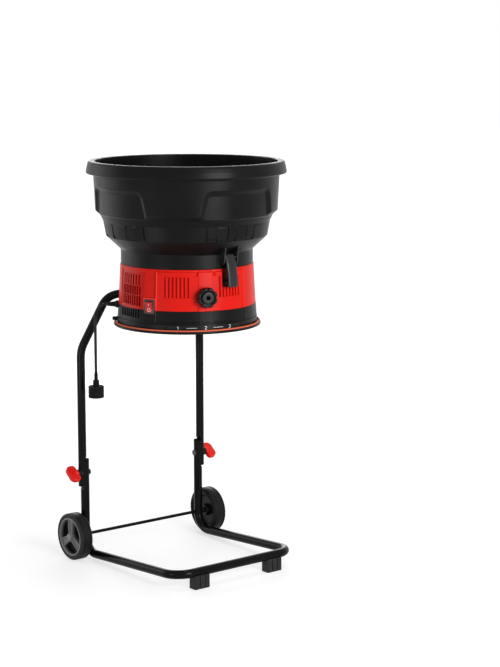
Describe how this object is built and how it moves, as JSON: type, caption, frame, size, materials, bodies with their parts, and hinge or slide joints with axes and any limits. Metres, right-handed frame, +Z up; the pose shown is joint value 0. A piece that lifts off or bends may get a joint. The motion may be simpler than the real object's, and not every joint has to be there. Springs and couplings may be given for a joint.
{
  "type": "leaf shredder",
  "caption": "Electric leaf shredder: wide round hopper over a line-cutting head with a red shell, on a folding tube stand with wheels, latches, clamp knob and size ring.",
  "frame": {"origin": "on the floor under the axis of the hopper and cutting head", "axes": "+Z up along the head axis, -Y to the front with the latch, X across the wheels"},
  "size_m": [0.4699, 0.4797, 0.9665],
  "materials": {
    "black_plastic": "satin moulded black plastic",
    "red_plastic": "satin red moulded plastic",
    "orange_rubber": "matt salmon orange rubber",
    "black_tube": "gloss black powder coat on steel tube",
    "steel": "zinc plated steel",
    "dark_steel": "black coated steel",
    "tyre_plastic": "matt black tyre",
    "wheel_plastic": "satin dark grey plastic",
    "line_orange": "orange nylon line",
    "copper": "lacquered copper winding",
    "brass": "plain brass",
    "label": "glossy printed label",
    "lead": "matt black cord jacket"
  },
  "bodies": {
    "base": {"base_loop": "black_tube", "front_feet": "black_plastic", "feet_screws": "steel", "axle": "dark_steel", "axle_caps": "black_plastic", "wheel_spacers": "black_plastic", "post_caps": "black_plastic", "fold_bolts": "dark_steel"},
    "head": {"left_arm": "black_tube", "right_arm": "black_tube", "arm_end_plugs": "steel", "arm_foot_caps": "black_plastic", "arm_bolts": "steel", "saddle_washers": "black_plastic", "lower_housing": "black_plastic", "red_shell": "red_plastic", "housing_screws": "steel", "ring_clips": "black_plastic", "chamber_liner": "steel", "motor_mount": "black_plastic", "mount_screws": "steel", "motor_cover": "black_plastic", "motor_stator": "dark_steel", "upper_bearing": "steel", "lower_bearing": "steel", "switch_body": "black_plastic", "wires": "lead", "cord_gland": "lead", "cord": "lead", "plug": "lead", "plug_blades": "brass", "hopper": "black_plastic", "latch_pins": "steel", "clamp_stud": "steel", "lock_bar": "steel"},
    "front_latch": {"front_latch": "black_plastic"},
    "rear_latch": {"rear_latch": "black_plastic"},
    "clamp_knob": {"clamp_knob": "black_plastic"},
    "rocker": {"switch_rocker": "red_plastic"},
    "size_ring": {"size_ring": "black_plastic", "edge_seal": "orange_rubber", "shutter_grate": "dark_steel", "scale_label": "label"},
    "cutter": {"motor_shaft": "steel", "armature": "copper", "cooling_fan": "black_plastic", "cutter_disc": "black_plastic", "cutting_lines": "line_orange", "disc_nut": "steel"},
    "left_wheel": {"left_tyre": "tyre_plastic", "left_wheel": "wheel_plastic"},
    "right_wheel": {"right_tyre": "tyre_plastic", "right_wheel": "wheel_plastic"},
    "left_wing_knob": {"left_wing_knob": "red_plastic"},
    "right_wing_knob": {"right_wing_knob": "red_plastic"}
  },
  "joints": [
    {"name": "frame_fold", "type": "hinge", "parent": "base", "child": "head", "pos_m": [0, 0.188, 0.2105], "axis": [1, 0, 0], "range_deg": [0, 65]},
    {"name": "left_wheel_spin", "type": "hinge", "parent": "base", "child": "left_wheel", "pos_m": [-0.202, 0.188, 0.0567], "axis": [1, 0, 0], "continuous": true},
    {"name": "right_wheel_spin", "type": "hinge", "parent": "base", "child": "right_wheel", "pos_m": [0.202, 0.188, 0.0567], "axis": [1, 0, 0], "continuous": true},
    {"name": "left_wing_knob_turn", "type": "hinge", "parent": "base", "child": "left_wing_knob", "pos_m": [-0.2, 0.188, 0.2105], "axis": [1, 0, 0], "continuous": true},
    {"name": "right_wing_knob_turn", "type": "hinge", "parent": "base", "child": "right_wing_knob", "pos_m": [0.2, 0.188, 0.2105], "axis": [1, 0, 0], "continuous": true},
    {"name": "front_latch_pivot", "type": "hinge", "parent": "head", "child": "front_latch", "pos_m": [0, -0.164, 0.7535], "axis": [-1, 0, 0], "range_deg": [0, 70]},
    {"name": "rear_latch_pivot", "type": "hinge", "parent": "head", "child": "rear_latch", "pos_m": [0, 0.164, 0.7535], "axis": [1, 0, 0], "range_deg": [0, 70]},
    {"name": "clamp_knob_turn", "type": "hinge", "parent": "head", "child": "clamp_knob", "pos_m": [-0.06304, -0.16003, 0.666], "axis": [-0.3665, -0.9304, 0], "continuous": true},
    {"name": "size_ring_turn", "type": "hinge", "parent": "head", "child": "size_ring", "pos_m": [0, 0, 0.59], "axis": [0, 0, 1], "range_deg": [-23, 23]},
    {"name": "switch_rock", "type": "hinge", "parent": "head", "child": "rocker", "pos_m": [-0.15234, -0.06155, 0.642], "axis": [0.3746, -0.9272, 0], "range_deg": [-20, 0]},
    {"name": "cutter_spin", "type": "hinge", "parent": "head", "child": "cutter", "pos_m": [0, 0, 0.68], "axis": [0, 0, 1], "continuous": true}
  ]
}
